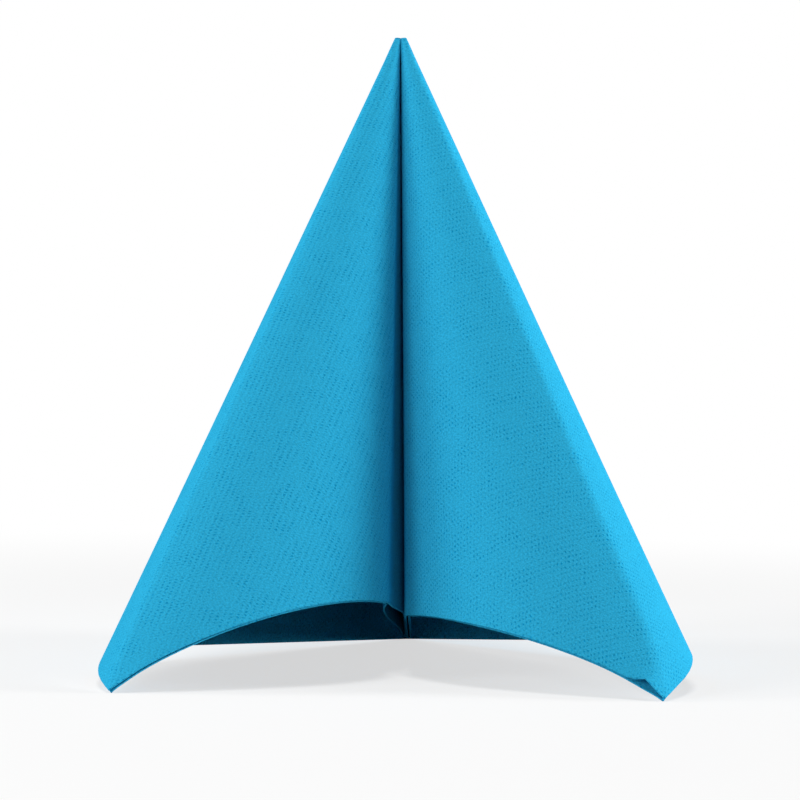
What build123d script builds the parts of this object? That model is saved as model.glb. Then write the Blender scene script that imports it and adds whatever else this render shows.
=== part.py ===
from build123d import *
import os
from dataclasses import dataclass
from math import acos, atan2, ceil, cos, pi, radians, sin, tan

# A square paper napkin, folded in half and then into a standing peak.
# The half fold puts the middle of the sheet at the top, and both top corners are folded down beside
# the middle line. Every fold then runs through the middle of the sheet, so the folded napkin is a fan
# of straight lines from one point, the peak, and each line keeps its place on the flat sheet.
# All lengths are in millimetres and all angles in degrees.

# The flat sheet, and the paper
sheet_side = 400.0
leaf = 0.5
leaf_gap = 0.2
leaf_gap_start = 16.0

# The peak: pressed solid down to the pinch, and blunt at its very top
peak_pinch = 10.0
peak_blunt = 1.8
peak_top_share = 0.35

# The folds: an inner radius at the peak, and what it grows by for each millimetre below the peak
fold_inner_radius = 0.2
ridge_growth = 0.003
crease_growth = 0.008

# Where the two flaps lie side by side in the groove, and what keeps their edges off the ridge
groove_clearance = 0.3
ridge_standoff = 2.6

# A bend is made of flat strips that stray from the true curve by no more than this
strip_tolerance = 0.01


@dataclass
class Half:
    """One side of the napkin: a back panel, a crease, a bulging flap and the flap's tucked edge."""

    side: int
    opening: float
    flat_share: float
    bow: float
    groove_turn: float
    groove_growth: float
    tuck_angle: float


left_half = Half(
    side=-1,
    opening=50.7,
    flat_share=0.53,
    bow=63.1,
    groove_turn=20.0,
    groove_growth=0.095,
    tuck_angle=6.1,
)
right_half = Half(
    side=1,
    opening=44.7,
    flat_share=0.49,
    bow=74.4,
    groove_turn=31.0,
    groove_growth=0.029,
    tuck_angle=4.2,
)

pair = 2 * leaf + leaf_gap
half_side = sheet_side / 2
search_steps = 30
floor_steps = 4


@dataclass
class Stretch:
    """A straight or evenly bent stretch of a level section, from a place and along a heading."""

    x: float
    forward: float
    heading: float
    length: float
    turn: float = 0.0

    def at(self, share):
        """Place and heading at a share of the stretch's length."""
        heading = self.heading + self.turn * share
        if self.turn == 0:
            run = self.length * share
            return self.x + run * cos(heading), self.forward + run * sin(heading), heading
        radius = self.length / self.turn
        x = self.x + radius * (sin(heading) - sin(self.heading))
        forward = self.forward - radius * (cos(heading) - cos(self.heading))
        return x, forward, heading

    def strips(self):
        """How many flat strips follow the bend."""
        if self.turn == 0:
            return 1
        radius = self.length / self.turn
        return ceil(self.turn / (2 * acos(1 - strip_tolerance / radius)))


def bend(start, radius, turn):
    """A round stretch that goes on from a place and heading."""
    return Stretch(*start, radius * turn, turn)


def section(half, level, back_length, crease_turn):
    """The middle line of one half's paper, in the level section at a distance below the peak.

    The line leaves the ridge sideways, turns into the back panel, round the crease and over the
    bulging flap into the groove, and ends on its way back to the ridge.
    """
    groove_turn = radians(half.groove_turn)
    inner = pair / 2 + fold_inner_radius
    groove_radius = inner + half.groove_growth * level
    groove_x = (pair + groove_clearance) / 2
    flat_length = back_length * half.flat_share
    bow = radians(half.bow)

    ridge = bend((0, 0, 0), inner + ridge_growth * level, radians(half.opening))
    flat = Stretch(*ridge.at(1), flat_length)
    bowed = bend(flat.at(1), (back_length - flat_length) / bow, bow)
    crease_radius = inner + crease_growth * level
    back_crease = bend(bowed.at(1), crease_radius, crease_turn / 2)
    front_crease = bend(back_crease.at(1), crease_radius, crease_turn / 2)

    x, forward, heading = front_crease.at(1)
    groove_heading = 1.5 * pi - groove_turn
    groove_width = groove_radius * (1 + sin(groove_heading))
    flap_radius = (x - groove_x - groove_width) / (sin(heading) - sin(groove_heading))
    flap = bend((x, forward, heading), flap_radius, groove_heading - heading)
    groove = bend(flap.at(1), groove_radius, groove_turn)

    x, forward, heading = groove.at(1)
    tuck_end = ridge_standoff + level * tan(radians(half.tuck_angle))
    tuck = Stretch(x, forward, heading, forward - tuck_end)
    return [ridge, flat, bowed, back_crease, front_crease, flap, groove, tuck]


def stations(stretches, strips):
    """Places and headings where the strips of each stretch meet, from the ridge to the tuck's end."""
    found = [stretches[0].at(0)]
    for stretch, count in zip(stretches, strips):
        found += [stretch.at((step + 1) / count) for step in range(count)]
    return found


def sheet_angles(places, level):
    """The angle on the flat sheet, about its middle, from the ridge to each place of a section."""
    angles = [0.0]
    for (x0, forward0, _), (x1, forward1, _) in zip(places, places[1:]):
        one = Vector(x0, forward0, level)
        other = Vector(x1, forward1, level)
        angles.append(angles[-1] + atan2(one.cross(other).length, one.dot(other)))
    return angles


def sheet_angle(stretches):
    """The angle that a row of stretches, at half a side below the peak, takes of the flat sheet."""
    strips = [stretch.strips() for stretch in stretches]
    return sheet_angles(stations(stretches, strips), half_side)[-1]


def halved_search(low, high, is_low):
    """The value between low and high where is_low stops holding."""
    for _ in range(search_steps):
        middle = (low + high) / 2
        if is_low(middle):
            low = middle
        else:
            high = middle
    return (low + high) / 2


def fitted(half):
    """The back panel's length and the crease's turn that use up exactly the flat sheet.

    The crease lies an eighth of a full turn from the ridge, on the sheet's diagonal, and the flap's
    folded edge another eighth on, on the line of the half fold.
    """

    def back_length(crease_turn):
        def too_short(length):
            to_crease = section(half, half_side, length, crease_turn)[:4]
            return sheet_angle(to_crease) < pi / 4

        return halved_search(0.3 * half_side, 1.8 * half_side, too_short)

    def too_sharp(crease_turn):
        whole = section(half, half_side, back_length(crease_turn), crease_turn)
        return sheet_angle(whole) > pi / 2

    crease_turn = halved_search(0, radians(120), too_sharp)
    return back_length(crease_turn), crease_turn


@dataclass
class Ruling:
    """A straight line of the paper, from a level near the peak to the cut edge."""

    top: Vector
    hem: Vector

    def along(self):
        return (self.hem - self.top).normalized()

    def beside(self, step):
        """The line moved by a step square to it, and still from its level to the cut edge."""
        along = self.along()
        return Ruling(self.top + step - along * (step.Z / along.Z), self.hem + step)

    def below(self, level):
        """The part of the line below a level."""
        whole = self.hem - self.top
        return Ruling(self.top + whole * ((-level - self.top.Z) / whole.Z), self.hem)


def half_rulings(half):
    """The straight lines of one half's middle surface, from the ridge to the flap's folded edge."""
    back_length, crease_turn = fitted(half)
    lower = section(half, half_side, back_length, crease_turn)
    upper = section(half, peak_pinch, back_length * peak_pinch / half_side, crease_turn)
    strips = [stretch.strips() for stretch in lower]
    lower_places = stations(lower, strips)
    upper_places = stations(upper, strips)
    lines = []
    for above, below, angle in zip(upper_places, lower_places, sheet_angles(lower_places, half_side)):
        top = Vector(half.side * above[0], -above[1], -peak_pinch)
        place = Vector(half.side * below[0], -below[1], -half_side)
        from_middle_of_side = angle if angle < pi / 4 else pi / 2 - angle
        to_hem = half_side / cos(from_middle_of_side) - place.length
        lines.append(Ruling(top, place + (place - top).normalized() * to_hem))
    return lines


def ring(lines, thickness):
    """Lines all round a sheet of some thickness, whose middle surface has the given lines.

    They run over the outer face, round one folded edge, over the inner face and round the other.
    Each line is where the faces of two neighbouring strips meet, so every strip stays flat.
    """
    normals = [
        (other.hem - one.hem).cross(one.along()).normalized() for one, other in zip(lines, lines[1:])
    ]
    before = normals[:1] + normals
    after = normals + normals[-1:]
    corners = [(one + other) * (1 / (1 + one.dot(other))) for one, other in zip(before, after)]
    offset = thickness / 2
    outer = [line.beside(corner * offset) for line, corner in zip(lines, corners)]
    inner = [line.beside(corner * -offset) for line, corner in zip(lines, corners)]

    count = bend((0, 0, 0), pair / 2, pi).strips()
    turns = [pi * step / count for step in range(1, count)]

    def folded_edge(line, start):
        away = line.along().cross(start)
        away = away if away.Y > 0 else away * -1
        return [line.beside((start * cos(turn) + away * sin(turn)) * offset) for turn in turns]

    last_edge = folded_edge(lines[-1], normals[-1])
    first_edge = folded_edge(lines[0], normals[0] * -1)
    return outer, last_edge, inner[::-1], first_edge


def closed_pairs(points):
    return list(zip(points, points[1:] + points[:1]))


def flat_strips(upper, lower):
    """Flat strips between matching points of two closed rows."""
    return [
        Face(Polyline(*above, *below[::-1], close=True))
        for above, below in zip(closed_pairs(upper), closed_pairs(lower))
    ]


def rim_strips(outer, inner):
    """Narrow strips between matching points of two closed rows, square to the paper."""
    return [
        Face.make_surface_from_curves(Line(*one), Line(*other))
        for one, other in zip(closed_pairs(outer), closed_pairs(inner))
    ]


def napkin_solid(lines):
    """The folded sheet as one solid: two leaves, joined at the peak and round the flaps' edges."""
    outer, right_edge, inner, left_edge = ring(lines, pair)
    paper = outer + right_edge + inner + left_edge
    gap = sum(ring([line.below(leaf_gap_start) for line in lines], leaf_gap), [])
    paper_tops = [line.top for line in paper]
    paper_hems = [line.hem for line in paper]
    gap_tops = [line.top for line in gap]
    gap_hems = [line.hem for line in gap]
    underside = paper_tops[len(outer) - 1 :] + paper_tops[:1]

    outline = paper_tops[: len(outer)]
    center = Vector(0, 0, -peak_pinch)
    raised = Vector(0, 0, -peak_blunt)
    blunt = [(point - center) * peak_top_share + raised for point in outline]

    faces = flat_strips(paper_tops, paper_hems) + flat_strips(gap_tops, gap_hems)
    faces += rim_strips(paper_hems, gap_hems) + flat_strips(blunt, outline)
    faces += [Face(Polyline(*row, close=True)) for row in (underside, gap_tops, blunt)]
    return Solid(Shell(faces))


def floor_under(napkin):
    """The plane that the napkin stands on, under its ridge and both tips, with the front to -Y."""
    corners = [Vector(*vertex) for vertex in napkin.vertices()]
    furthest = max(corner.length for corner in corners)
    tips = [corner for corner in corners if corner.length > (half_side + furthest) / 2]
    feet = [
        [corner for corner in corners if abs(corner.X) < pair and corner.Y > -pair],
        [corner for corner in tips if corner.X < 0],
        [corner for corner in tips if corner.X > 0],
    ]
    up = Vector(0, 0, 1)
    for _ in range(floor_steps):
        ridge, left_tip, right_tip = [min(foot, key=lambda corner: corner.dot(up)) for foot in feet]
        up = (right_tip - left_tip).cross(ridge - left_tip).normalized()
    return Plane(origin=ridge, x_dir=right_tip - left_tip, z_dir=up)


# One row of lines, from the left flap's folded edge over the ridge to the right one's
lines = half_rulings(left_half)[::-1] + half_rulings(right_half)[1:]
napkin = napkin_solid(lines)
napkin = floor_under(napkin).to_local_coords(napkin)
box = napkin.bounding_box()
napkin = Pos(-box.center().X, -box.center().Y, -box.min.Z) * napkin

os.makedirs("parts", exist_ok=True)
export_step(napkin, "parts/napkin.step")
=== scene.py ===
from dataclasses import dataclass, replace
from math import atan2, cos, exp, hypot, pi, radians, sin, sqrt, tan

import bmesh
import bpy
from mathutils import Matrix, Vector


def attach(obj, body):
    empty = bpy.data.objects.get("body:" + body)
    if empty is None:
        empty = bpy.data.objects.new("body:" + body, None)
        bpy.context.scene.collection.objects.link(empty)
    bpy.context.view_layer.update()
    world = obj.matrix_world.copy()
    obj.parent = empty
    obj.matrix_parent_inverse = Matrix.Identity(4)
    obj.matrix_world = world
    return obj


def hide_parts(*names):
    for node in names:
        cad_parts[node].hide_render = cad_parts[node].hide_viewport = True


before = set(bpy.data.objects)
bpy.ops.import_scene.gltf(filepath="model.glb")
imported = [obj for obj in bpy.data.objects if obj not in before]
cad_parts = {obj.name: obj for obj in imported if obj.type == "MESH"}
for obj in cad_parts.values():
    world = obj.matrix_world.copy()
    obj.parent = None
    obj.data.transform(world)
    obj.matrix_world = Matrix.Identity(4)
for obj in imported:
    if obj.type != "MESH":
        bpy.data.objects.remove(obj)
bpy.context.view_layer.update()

# A square paper napkin, folded in half and then into a standing peak.
# The folded napkin is a fan of straight lines from one point, the peak, so each line keeps its place on
# the flat sheet. The fold is worked out in millimetres from the peak, with x to the right, -y to the
# front and z up, and is then stood on the floor in metres.
MILLIMETRE = 0.001

# The flat sheet, and the paper
SHEET_SIDE = 400.0
LEAF = 0.5
LEAF_GAP = 0.2
HALF_SIDE = SHEET_SIDE / 2
PAIR = 2 * LEAF + LEAF_GAP
LEAF_OFFSET = (LEAF + LEAF_GAP) / 2

# How far each leaf turns away from the other at the cut edge, and how suddenly
HEM_FLARE = 0.16
FLARE_POWER = 4

# The peak: pinched down to this level, and cut blunt at a higher one, where it has this share of the
# pinched section's size
PINCH = 10.0
BLUNT = 1.8
TOP_SHARE = 0.35

# The folds: an inner radius at the peak, and what it grows by for each millimetre below the peak
FOLD_INNER_RADIUS = 0.2
RIDGE_GROWTH = 0.003
CREASE_GROWTH = 0.02
GROOVE_CLEARANCE = 0.3
RIDGE_STANDOFF = 2.6

# Where the fold is looked for: the back panel's length in half sides, and the crease's turn in degrees
SHORTEST_BACK = 0.3
LONGEST_BACK = 1.8
SHARPEST_CREASE = 120
SEARCH_STEPS = 24
FLOOR_STEPS = 4

# The right flap's lip leans to the right on its way down, and the left flap meets it further in. Each
# value is a share of the level: the lean and how wide it is, how far the flaps sink back beside the
# groove and how wide that is, and how far forward of the ridge the lip and the flaps' meeting place are
GROOVE_LEAN = 0.022
GROOVE_REACH = 0.08
GROOVE_SINK = 0.006
SINK_REACH = 0.2
GROOVE_LIP = 0.62
MEETING_DEPTH = 0.46

# How far the left flap's inner leaf keeps to the left of where the tuck starts, at the cut edge, and
# the shares of the tuck where it is fully open and where it starts to close
HOLLOW = 1.4
HOLLOW_OPEN = 0.15
HOLLOW_CLOSING = 0.35

# Slow waves of the leaves: height at half a side from the sheet's middle, radians of wave for each
# radian round the fan and for each half side outwards, and the radians that a wave starts with
WAVES = ((0.3, 5.1, 2.3, 0.0), (0.18, 9.7, -4.4, 1.0))

# How far to the right each tip's corner is moved, and the width of what moves with it
LEFT_TIP = (1.3, 9.0)
RIGHT_TIP = (-2.6, 15.0)

# The cut edge of the right flap's outer leaf curls up near the tip: how far from the corner, how wide,
# and how far out and up
CURL_PLACE = 6.5
CURL_WIDTH = 3.8
CURL_OUT = 1.1
CURL_UP = 1.9

# Lines of the mesh in each stretch of one half and round each folded edge, its rows below the pinch
# and above it, and how near two of its points are merged
STRETCH_LINES = {
    "ridge": 5,
    "flat": 12,
    "bowed": 18,
    "back crease": 6,
    "front crease": 6,
    "flap": 32,
    "groove": 8,
    "tuck": 10,
}
TURN_LINES = 3
BODY_ROWS = 76
PEAK_ROWS = 5
MERGE_DISTANCE = 1e-5

# The embossing, in metres: between rows of pits, between the pits of a row, and how far one strays
PIT_ROWS = 0.0018
PIT_PITCH = 0.00115
PIT_STRAY = 0.0011

# Waves for each metre of the sheet, along one of its diagonals and across it, which crest at every
# pit, and the range of their sum in which a pit deepens. The sum is 3 in the middle of a pit
PIT_WAVES = (
    (0, 1 / PIT_ROWS),
    (1 / PIT_PITCH, 0.5 / PIT_ROWS),
    (1 / PIT_PITCH, -0.5 / PIT_ROWS),
)
PIT_CRESTS = (0.9, 2.8)

# Scale and detail of the noise that presses the pits unevenly, moves them and makes the fibres
CLOUDS = (150, 3)
GRAINS = (600, 2)
FIBRES = (1700, 4)
FIBRE_ROUGHNESS = 0.7

# The middle range of that noise, and what it makes of the pits' depth, which also sets their painted shade,
# and of the fibres' tone, whose lighter specks are painted glints
CLOUD_RANGE = (0.35, 0.65)
PRESSED_DEPTH = (0.25, 1.0)
FIBRE_RANGE = (0.3, 0.7)
# The fibres' tone differs at random, and its lighter specks are painted glints of the fibres
FIBRE_TONE_AND_GLINT = (0.8, 1.2)

# How strongly the pits and the fibres show as relief, and how deep they are in metres
EMBOSSING = (0.8, 0.00014)
NAP = (0.6, 0.00008)

# Colours and finishes
PAPER_BLUE = (0.024, 0.36, 0.595, 1)
# The pits' darker blue is partly the paper's own tone and partly painted shade in the pits' hollows
PIT_TONE_AND_SHADE_BLUE = (0.002, 0.235, 0.475, 1)
PAPER_ROUGHNESS = 0.8
PAPER_SHINE = 0.0
FLOOR_PALE = (0.86, 0.86, 0.86, 1)
WHITE = (1, 1, 1, 1)

# The floor, in metres: half its side, and where it turns from mostly white to plain white
FLOOR_HALF_SIDE = 8
WHITENING = (0.22, 0.6)
FLOOR_WHITENESS = (0.65, 1.0)

# Soft lamps: name, angle round from the front to the right, angle up, and strength in watts
LAMPS = (
    ("right_softbox", 90, 7, 36),
    ("left_front_softbox", -55, 20, 11),
    ("left_softbox", -90, 20, 14),
    ("top_softbox", 0, 80, 16),
)
LAMP_DISTANCE = 1.7
LAMP_SIZE = 0.6
LAMP_AIM = Vector((0, 0, 0.09))

# The camera: its place in metres, its turns in degrees, and its lens and sensor in millimetres
CAMERA_PLACE = (0.00051, -1.11807, 0.11816)
CAMERA_TURNS = (88.1038, -0.8685, 0.0760)
CAMERA_LENS = 163.77
CAMERA_SENSOR = 36


@dataclass
class Half:
    """One side of the napkin: a back panel, a crease, a bulging flap and the flap's tucked edge."""

    side: int
    opening: float
    flat_share: float
    bow: float
    groove_turn: float
    groove_growth: float
    tuck_angle: float


LEFT_HALF = Half(
    side=-1,
    opening=50.7,
    flat_share=0.53,
    bow=63.1,
    groove_turn=20.0,
    groove_growth=0.095,
    tuck_angle=6.1,
)
RIGHT_HALF = Half(
    side=1,
    opening=44.7,
    flat_share=0.49,
    bow=74.4,
    groove_turn=31.0,
    groove_growth=0.029,
    tuck_angle=4.2,
)


@dataclass
class Stretch:
    """A straight or evenly bent stretch of a level section, from a place and along a heading."""

    name: str
    x: float
    forward: float
    heading: float
    length: float
    turn: float = 0.0

    def at(self, share):
        """Place and heading at a share of the stretch's length."""
        heading = self.heading + self.turn * share
        if self.turn == 0:
            run = self.length * share
            return self.x + run * cos(heading), self.forward + run * sin(heading), heading
        radius = self.length / self.turn
        x = self.x + radius * (sin(heading) - sin(self.heading))
        forward = self.forward - radius * (cos(heading) - cos(self.heading))
        return x, forward, heading


@dataclass
class Line:
    """A straight line of the paper from near the peak to the cut edge.

    It has its angle on the flat sheet, its share of a stretch, the direction out of the paper, and on
    the inner leaf how far it keeps away to the left from the outer one at the cut edge. Its leaf is 1
    on the outer leaf, -1 on the inner one and 0 round a folded edge.
    """

    top: Vector
    hem: Vector
    angle: float
    stretch: str
    share: float
    side: int
    out: Vector = None
    slack: float = 0.0
    leaf: int = 0


def bend(name, start, radius, turn):
    """A round stretch that goes on from a place and heading."""
    return Stretch(name, *start, radius * turn, turn)


def section(half, level, back_length, crease_turn):
    """The middle line of one half's paper in a level section, from the ridge to the tuck's end."""
    groove_turn = radians(half.groove_turn)
    inner = PAIR / 2 + FOLD_INNER_RADIUS
    groove_radius = inner + half.groove_growth * level
    groove_x = (PAIR + GROOVE_CLEARANCE) / 2
    flat_length = back_length * half.flat_share
    bow = radians(half.bow)

    ridge = bend("ridge", (0, 0, 0), inner + RIDGE_GROWTH * level, radians(half.opening))
    flat = Stretch("flat", *ridge.at(1), flat_length)
    bowed = bend("bowed", flat.at(1), (back_length - flat_length) / bow, bow)
    crease_radius = inner + CREASE_GROWTH * level
    back_crease = bend("back crease", bowed.at(1), crease_radius, crease_turn / 2)
    front_crease = bend("front crease", back_crease.at(1), crease_radius, crease_turn / 2)

    x, forward, heading = front_crease.at(1)
    groove_heading = 1.5 * pi - groove_turn
    groove_width = groove_radius * (1 + sin(groove_heading))
    flap_radius = (x - groove_x - groove_width) / (sin(heading) - sin(groove_heading))
    flap = bend("flap", (x, forward, heading), flap_radius, groove_heading - heading)
    groove = bend("groove", flap.at(1), groove_radius, groove_turn)

    x, forward, heading = groove.at(1)
    tuck_end = RIDGE_STANDOFF + level * tan(radians(half.tuck_angle))
    tuck = Stretch("tuck", x, forward, heading, forward - tuck_end)
    return [ridge, flat, bowed, back_crease, front_crease, flap, groove, tuck]


def stations(stretches):
    """Each mesh line's stretch, share of it, place and heading, from the ridge on."""
    found = [(stretches[0].name, 0.0, stretches[0].at(0))]
    for stretch in stretches:
        count = STRETCH_LINES[stretch.name]
        for step in range(count):
            share = (step + 1) / count
            found.append((stretch.name, share, stretch.at(share)))
    return found


def sheet_angles(stretches, level):
    """The angle on the flat sheet, about its middle, from the ridge to each mesh line."""
    places = [Vector((x, forward, level)) for _, _, (x, forward, _) in stations(stretches)]
    angles = [0.0]
    for one, other in zip(places, places[1:]):
        angles.append(angles[-1] + atan2(one.cross(other).length, one.dot(other)))
    return angles


def halved_search(low, high, is_low):
    """The value between low and high where is_low stops holding."""
    for _ in range(SEARCH_STEPS):
        middle = (low + high) / 2
        if is_low(middle):
            low = middle
        else:
            high = middle
    return (low + high) / 2


def fitted(half):
    """The back panel's length and the crease's turn that use up exactly the flat sheet."""

    def back_length(crease_turn):
        def too_short(length):
            to_crease = section(half, HALF_SIDE, length, crease_turn)[:4]
            return sheet_angles(to_crease, HALF_SIDE)[-1] < pi / 4

        return halved_search(SHORTEST_BACK * HALF_SIDE, LONGEST_BACK * HALF_SIDE, too_short)

    def too_sharp(crease_turn):
        whole = section(half, HALF_SIDE, back_length(crease_turn), crease_turn)
        return sheet_angles(whole, HALF_SIDE)[-1] > pi / 2

    crease_turn = halved_search(0, radians(SHARPEST_CREASE), too_sharp)
    return back_length(crease_turn), crease_turn


def nearness(distance, reach):
    """One at no distance, and next to nothing a few reaches away."""
    return exp(-((distance / reach) ** 2))


def eased(value, low, high):
    """None up to the low value, one from the high value on, and a soft step between them."""
    share = min(max((value - low) / (high - low), 0), 1)
    return share * share * (3 - 2 * share)


def lean(half, depth, x, level):
    """How far to the right the groove's lean puts a place of the section, at a depth from the ridge."""
    found = GROOVE_LEAN * level * min(depth / GROOVE_LIP, 1) * nearness(x, GROOVE_REACH * level)
    if half.side < 0:
        found *= 1 - eased(depth, MEETING_DEPTH, GROOVE_LIP)
    return found


def paper_point(half, stretch, x, forward, level):
    """A place of the section, after the flaps have leaned and sunk back beside the groove."""
    if stretch not in ("flap", "groove", "tuck"):
        return Vector((x, -forward, -level))
    depth = forward / level
    sink = GROOVE_SINK * level * min(depth / GROOVE_LIP, 1) * nearness(x, SINK_REACH * level)
    return Vector((x + lean(half, depth, x, level), sink - forward, -level))


def inner_slack(half, stretch, share, forward):
    """How far the left flap's inner leaf keeps to the left of its outer leaf along the tuck."""
    if half.side > 0 or stretch != "tuck":
        return 0.0
    hollow = lean(half, forward / HALF_SIDE, 0, HALF_SIDE) + HOLLOW * eased(share, 0, HOLLOW_OPEN)
    return hollow * (1 - eased(share, HOLLOW_CLOSING, 1))


def half_lines(half):
    """The straight lines of one half's middle surface, from the ridge to the flap's folded edge."""
    back_length, crease_turn = fitted(half)
    lower = section(half, HALF_SIDE, back_length, crease_turn)
    upper = section(half, PINCH, back_length * PINCH / HALF_SIDE, crease_turn)
    found = []
    for below, above, angle in zip(stations(lower), stations(upper), sheet_angles(lower, HALF_SIDE)):
        stretch, share, (x, forward, _) = below
        top_x, top_forward, _ = above[2]
        place = paper_point(half, stretch, half.side * x, forward, HALF_SIDE)
        top = paper_point(half, stretch, half.side * top_x, top_forward, PINCH)
        from_side_middle = min(angle, pi / 2 - angle)
        hem = place + (place - top).normalized() * (HALF_SIDE / cos(from_side_middle) - place.length)
        slack = inner_slack(half, stretch, share, forward)
        found.append(Line(top, hem, half.side * angle, stretch, share, half.side, slack=slack))
    return found


def middle_lines():
    """The pair of leaves' lines, from the left flap's folded edge over the ridge to the right's."""
    lines = half_lines(LEFT_HALF)[::-1] + half_lines(RIGHT_HALF)[1:]
    for before, line, after in zip(lines[:1] + lines, lines, lines[1:] + lines[-1:]):
        line.out = (after.hem - before.hem).cross(line.hem - line.top).normalized()
    return lines


def sheet_lines(middle):
    """All lines round the flat sheet's middle: outer leaf, folded edge, inner leaf, folded edge."""
    turn_angle = LEAF_OFFSET * pi / 2 / HALF_SIDE
    shrink = 1 - turn_angle / (pi / 2)

    def beside(line, out, angle, leaf):
        step = out * LEAF_OFFSET
        hem = line.hem + step
        if leaf < 0:
            hem = hem - Vector((line.slack, 0, 0))
        return replace(line, top=line.top + step, hem=hem, angle=angle, out=out, leaf=leaf)

    def folded_edge(line, start, sides):
        away = (line.hem - line.top).normalized().cross(start)
        away = away if away.y > 0 else -away
        found = []
        for step in range(1, TURN_LINES + 1):
            turn = pi * step / (TURN_LINES + 1)
            angle = sides * pi / 2 + turn_angle * (2 * turn / pi - 1)
            found.append(beside(line, start * cos(turn) + away * sin(turn), angle, 0))
        return found

    outer = [beside(line, line.out, line.angle * shrink, 1) for line in middle]
    inner = [beside(line, -line.out, pi - line.angle * shrink, -1) for line in middle]
    right_edge = folded_edge(middle[-1], middle[-1].out, 1)
    left_edge = folded_edge(middle[0], -middle[0].out, 3)
    return outer + right_edge + inner[::-1] + left_edge


def raised(top, size, level):
    """Where a place of the pinched section goes, when it is drawn together at a higher level."""
    return Vector((top.x * size, top.y * size, (top.z + PINCH) * size - level))


def standing_frame(middle):
    """The turn and shift from the peak's own frame to the floor, as the solid napkin stands on it."""
    faces = [(line, line.out * offset) for line in middle for offset in (PAIR / 2, -PAIR / 2)]
    hems = [line.hem + step for line, step in faces]
    peak = [raised(line.top + step, TOP_SHARE, BLUNT) for line, step in faces]
    ridge_feet = [hem for hem in hems if abs(hem.x) < PAIR and hem.y > -PAIR]
    furthest = max(hem.length for hem in hems)
    tips = [hem for hem in hems if hem.length > (HALF_SIDE + furthest) / 2]
    left_feet = [hem for hem in tips if hem.x < 0]
    right_feet = [hem for hem in tips if hem.x > 0]
    up = Vector((0, 0, 1))
    for _ in range(FLOOR_STEPS):
        ridge, left, right = [min(feet, key=up.dot) for feet in (ridge_feet, left_feet, right_feet)]
        up = (right - left).cross(ridge - left).normalized()
    across = (right - left).normalized()
    turn = Matrix((across, up.cross(across), up))
    stood = [turn @ place for place in hems + peak]
    low = Vector(min(place[axis] for place in stood) for axis in range(3))
    high = Vector(max(place[axis] for place in stood) for axis in range(3))
    shift = Vector((-(low.x + high.x) / 2, -(low.y + high.y) / 2, -low.z))
    return Matrix.Translation(shift) @ turn.to_4x4()


def freedom(line):
    """How free the paper is to wave: none at a fold, most in the middle of a panel or flap."""
    if line.stretch == "flap":
        return sin(pi * line.share) ** 2
    if line.stretch == "flat":
        return sin(pi / 2 * line.share) ** 2
    if line.stretch == "bowed":
        return cos(pi / 2 * line.share) ** 2
    return 0.0


def wave_height(line, reach):
    """How far out the slow waves put a line's point, at a reach from the sheet's middle."""
    folded_angle = line.angle if line.leaf > 0 else pi - line.angle
    share = reach / HALF_SIDE
    wave = sum(
        height * sin(around * folded_angle + outwards * share + start)
        for height, around, outwards, start in WAVES
    )
    return line.leaf * wave * freedom(line) * share ** 2


def tip_shift(line, reach):
    """How the moved tip and the curl beside the right one move a line's point."""
    across = abs(reach * sin(line.angle)) - HALF_SIDE
    along = abs(reach * cos(line.angle)) - HALF_SIDE
    shift, width = LEFT_TIP if line.side < 0 else RIGHT_TIP
    moved = Vector((shift * nearness(hypot(across, along), width), 0, 0))
    if line.side > 0 and line.leaf > 0:
        curled = nearness(hypot(across, along + CURL_PLACE), CURL_WIDTH)
        moved += (line.out * CURL_OUT + Vector((0, 0, CURL_UP))) * curled
    return moved


def peak_place(line, row):
    """Where a line's point goes in the rows of the peak, and how far from the sheet's middle it is."""
    if row == 0:
        return Vector((0, 0, -BLUNT)), 0.0
    size = TOP_SHARE + (1 - TOP_SHARE) * (row - 1) / (PEAK_ROWS - 1)
    level = BLUNT + (PINCH - BLUNT) * (row - 1) / (PEAK_ROWS - 1)
    return raised(line.top, size, level), line.top.length * (row / PEAK_ROWS)


def paper_place(line, row):
    """Where a line's point goes in a row of the mesh, and how far from the sheet's middle it is."""
    if row <= PEAK_ROWS:
        return peak_place(line, row)
    share = (row - PEAK_ROWS) / BODY_ROWS
    place = line.top.lerp(line.hem, share)
    reach = place.length
    place = place + line.out * wave_height(line, reach)
    place = place + line.out * (HEM_FLARE * share ** FLARE_POWER)
    return place + tip_shift(line, reach), reach


def folded_sheet(lines):
    """The sheet as a fan-shaped mesh, folded, with its flat shape kept as a UV map in metres.

    The grid's columns follow the lines round the sheet and meet again at the first one. Its rows run
    from the sheet's middle, which is the peak, to the cut edge.
    """
    columns = len(lines)
    rows = PEAK_ROWS + BODY_ROWS
    mesh = bmesh.new()
    bmesh.ops.create_grid(mesh, x_segments=columns, y_segments=rows, size=1)
    flat_shape = mesh.loops.layers.uv.new("flat_sheet")
    flat_places = {}
    for vertex in mesh.verts:
        line = lines[round((vertex.co.x + 1) / 2 * columns) % columns]
        row = round((vertex.co.y + 1) / 2 * rows)
        place, reach = paper_place(line, row)
        flat_places[vertex.index] = (
            (HALF_SIDE + reach * sin(line.angle)) * MILLIMETRE,
            (HALF_SIDE - reach * cos(line.angle)) * MILLIMETRE,
        )
        vertex.co = place
    for face in mesh.faces:
        face.smooth = True
        for loop in face.loops:
            loop[flat_shape].uv = flat_places[loop.vert.index]
    bmesh.ops.remove_doubles(mesh, verts=mesh.verts, dist=MERGE_DISTANCE)
    bmesh.ops.recalc_face_normals(mesh, faces=mesh.faces)
    for edge in mesh.edges:
        edge.smooth = not edge.is_boundary
    return mesh


def placed(name, mesh, material):
    """An object made from a finished mesh, at the origin."""
    data = bpy.data.meshes.new(name)
    mesh.to_mesh(data)
    mesh.free()
    data.materials.append(material)
    made = bpy.data.objects.new(name, data)
    bpy.context.scene.collection.objects.link(made)
    return made


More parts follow.
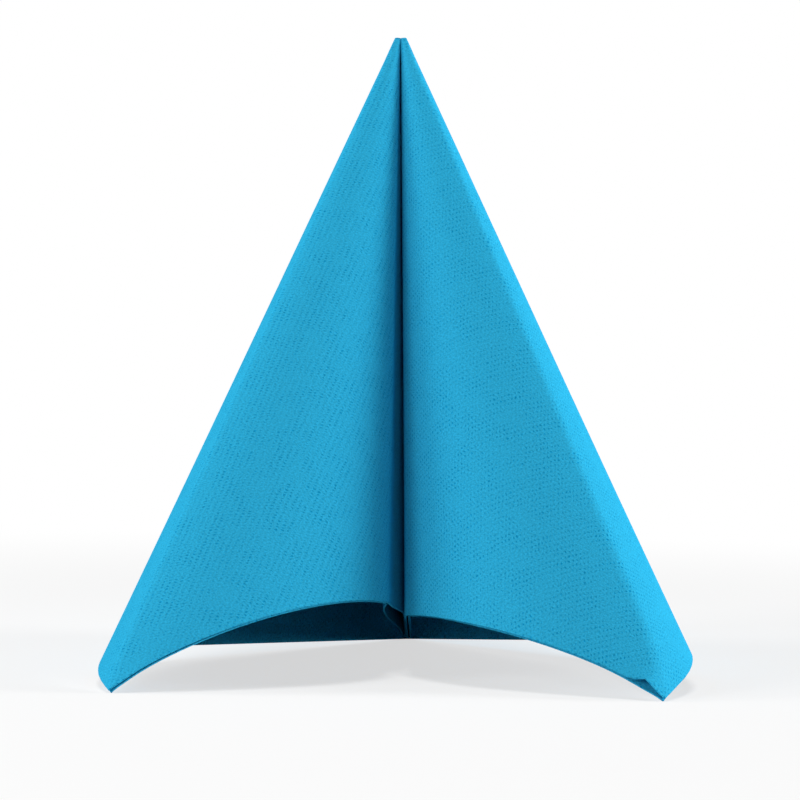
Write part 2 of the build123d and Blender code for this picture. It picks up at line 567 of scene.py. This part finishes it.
def make_napkin():
    middle = middle_lines()
    sheet = folded_sheet(sheet_lines(middle))
    standing = Matrix.Scale(MILLIMETRE, 4) @ standing_frame(middle)
    bmesh.ops.transform(sheet, matrix=standing, verts=sheet.verts)
    napkin = placed("folded_sheet", sheet, paper_material())
    thickness = napkin.modifiers.new("paper thickness", "SOLIDIFY")
    thickness.thickness = LEAF * MILLIMETRE
    thickness.offset = 0
    thickness.use_rim = True
    return napkin


def node(tree, kind, inputs, **settings):
    """A new node with some of its settings and inputs changed."""
    made = tree.nodes.new(kind)
    for name, value in settings.items():
        setattr(made, name, value)
    for name, value in inputs.items():
        made.inputs[name].default_value = value
    return made


def noise(tree, place, scale, detail, **inputs):
    """Noise over the flat sheet."""
    made = node(
        tree,
        "ShaderNodeTexNoise",
        {"Scale": scale, "Detail": detail, **inputs},
        noise_dimensions="2D",
    )
    tree.links.new(place, made.inputs["Vector"])
    return made


def combined(tree, operation, one, other):
    """Two values put through one step of arithmetic, such as ADD or MAXIMUM."""
    made = node(tree, "ShaderNodeMath", {}, operation=operation)
    tree.links.new(one, made.inputs[0])
    tree.links.new(other, made.inputs[1])
    return made.outputs["Value"]


def ranged(tree, value, start, end, step="LINEAR"):
    """A value moved from its place in the start range to the same place in the end range."""
    sockets = ("From Min", "From Max", "To Min", "To Max")
    made = node(tree, "ShaderNodeMapRange", dict(zip(sockets, start + end)), interpolation_type=step)
    tree.links.new(value, made.inputs["Value"])
    return made.outputs["Result"]


def relief(tree, height, strength, depth, **settings):
    """A bump of some strength and depth."""
    made = node(tree, "ShaderNodeBump", {"Strength": strength, "Distance": depth}, **settings)
    tree.links.new(height, made.inputs["Height"])
    return made


def pit_crests(tree, place):
    """Three sets of straight waves over the flat sheet, added up, which all crest at every pit."""
    crests = []
    for along, across in PIT_WAVES:
        per_metre = Vector((along + across, along - across, 0)) / sqrt(2) * 2 * pi
        phase = node(tree, "ShaderNodeVectorMath", {1: per_metre}, operation="DOT_PRODUCT")
        tree.links.new(place, phase.inputs[0])
        crest = node(tree, "ShaderNodeMath", {}, operation="COSINE")
        tree.links.new(phase.outputs["Value"], crest.inputs[0])
        crests.append(crest.outputs["Value"])
    rows, rising, falling = crests
    return combined(tree, "ADD", combined(tree, "ADD", rows, rising), falling)


def pressed_pits(tree, flat_place):
    """How deeply the paper is pressed at each place: pits that stray a little, some shallower."""
    grains = noise(tree, flat_place, *GRAINS)
    strays = {1: (PIT_STRAY, PIT_STRAY, 0)}
    strayed = node(tree, "ShaderNodeVectorMath", strays, operation="MULTIPLY_ADD")
    tree.links.new(grains.outputs["Color"], strayed.inputs[0])
    tree.links.new(flat_place, strayed.inputs[2])
    crests = pit_crests(tree, strayed.outputs["Vector"])
    pits = ranged(tree, crests, PIT_CRESTS, (0, 1), "SMOOTHSTEP")
    clouds = noise(tree, flat_place, *CLOUDS)
    depth = ranged(tree, clouds.outputs["Fac"], CLOUD_RANGE, PRESSED_DEPTH)
    return combined(tree, "MULTIPLY", pits, depth)


def paper_material():
    """Soft blue tissue paper, embossed with staggered pits in rows along one diagonal of the sheet. The
    pits are darker partly in the paper's own tone and partly with painted shade, and the fibres' lighter
    specks are painted glints.
    """
    material = bpy.data.materials.new("blue_tissue_paper")
    material.use_nodes = True
    tree = material.node_tree
    link = tree.links.new
    shader = tree.nodes["Principled BSDF"]
    shader.inputs["Roughness"].default_value = PAPER_ROUGHNESS
    shader.inputs["Specular IOR Level"].default_value = PAPER_SHINE

    flat_place = node(tree, "ShaderNodeUVMap", {}, uv_map="flat_sheet").outputs["UV"]
    pressed = pressed_pits(tree, flat_place)
    fibres = noise(tree, flat_place, *FIBRES, Roughness=FIBRE_ROUGHNESS).outputs["Fac"]

    # Darker blue where the paper is pressed deeper: partly the pits' own tone, partly painted shade in them
    blues = {"A": PAPER_BLUE, "B": PIT_TONE_AND_SHADE_BLUE}
    pit_tone_and_shade = node(tree, "ShaderNodeMix", blues, data_type="RGBA")
    link(pressed, pit_tone_and_shade.inputs["Factor"])
    whole = {"Factor": 1.0}
    # The fibres' random tone, with its lighter specks as painted glints of the fibres
    fibre_glint_mottle = node(tree, "ShaderNodeMix", whole, data_type="RGBA", blend_type="MULTIPLY")
    link(pit_tone_and_shade.outputs["Result"], fibre_glint_mottle.inputs["A"])
    link(ranged(tree, fibres, FIBRE_RANGE, FIBRE_TONE_AND_GLINT), fibre_glint_mottle.inputs["B"])
    link(fibre_glint_mottle.outputs["Result"], shader.inputs["Base Color"])

    embossing = relief(tree, pressed, *EMBOSSING, invert=True)
    nap = relief(tree, fibres, *NAP)
    link(embossing.outputs["Normal"], nap.inputs["Normal"])
    link(nap.outputs["Normal"], shader.inputs["Normal"])
    return material


def background_seen(tree):
    """One for rays from the camera and for mirrored and refracted ones, and none for light on the paper."""
    rays = node(tree, "ShaderNodeLightPath", {}).outputs
    mirrored = combined(tree, "MAXIMUM", rays["Is Camera Ray"], rays["Is Glossy Ray"])
    return combined(tree, "MAXIMUM", mirrored, rays["Is Transmission Ray"])


def floor_material():
    """A pale floor that keeps the napkin's shadow and turns plain white away from it."""
    material = bpy.data.materials.new("pale_floor")
    material.use_nodes = True
    tree = material.node_tree
    link = tree.links.new
    tree.nodes.remove(tree.nodes["Principled BSDF"])
    output = tree.nodes["Material Output"]
    matt = node(tree, "ShaderNodeBsdfDiffuse", {"Color": FLOOR_PALE})
    white = node(tree, "ShaderNodeEmission", {"Color": WHITE, "Strength": 1.0})
    place = node(tree, "ShaderNodeTexCoord", {})
    distance = node(tree, "ShaderNodeVectorMath", {}, operation="LENGTH")
    link(place.outputs["Object"], distance.inputs[0])
    fade = ranged(tree, distance.outputs["Value"], WHITENING, FLOOR_WHITENESS, "SMOOTHSTEP")
    mix = node(tree, "ShaderNodeMixShader", {})
    link(combined(tree, "MULTIPLY", fade, background_seen(tree)), mix.inputs["Fac"])
    link(matt.outputs["BSDF"], mix.inputs[1])
    link(white.outputs["Emission"], mix.inputs[2])
    link(mix.outputs["Shader"], output.inputs["Surface"])
    return material


def make_floor():
    mesh = bmesh.new()
    bmesh.ops.create_grid(mesh, x_segments=1, y_segments=1, size=FLOOR_HALF_SIDE)
    placed("floor", mesh, floor_material())


def make_surroundings():
    """Plain white all round, as it is seen and mirrored, which gives the paper no light of its own."""
    world = bpy.data.worlds.new("studio")
    bpy.context.scene.world = world
    world.use_nodes = True
    tree = world.node_tree
    white = tree.nodes["Background"]
    white.inputs["Color"].default_value = WHITE
    tree.links.new(background_seen(tree), white.inputs["Strength"])


def make_lamp(name, azimuth, elevation, strength):
    """A square soft lamp that faces the napkin."""
    data = bpy.data.lights.new(name, "AREA")
    data.size = LAMP_SIZE
    data.energy = strength
    lamp = bpy.data.objects.new(name, data)
    turn, rise = radians(azimuth), radians(elevation)
    out = Vector((sin(turn) * cos(rise), -cos(turn) * cos(rise), sin(rise)))
    lamp.location = LAMP_AIM + out * LAMP_DISTANCE
    lamp.rotation_euler = out.to_track_quat("Z", "Y").to_euler()
    bpy.context.scene.collection.objects.link(lamp)


def make_camera():
    data = bpy.data.cameras.new("camera")
    data.sensor_width = CAMERA_SENSOR
    data.lens = CAMERA_LENS
    camera = bpy.data.objects.new("camera", data)
    camera.location = CAMERA_PLACE
    camera.rotation_euler = [radians(turn) for turn in CAMERA_TURNS]
    bpy.context.scene.collection.objects.link(camera)
    bpy.context.scene.camera = camera


napkin = make_napkin()
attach(napkin, "root")
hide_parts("napkin")

make_floor()
make_surroundings()
for lamp in LAMPS:
    make_lamp(*lamp)
make_camera()
bpy.context.scene.view_settings.view_transform = "Standard"
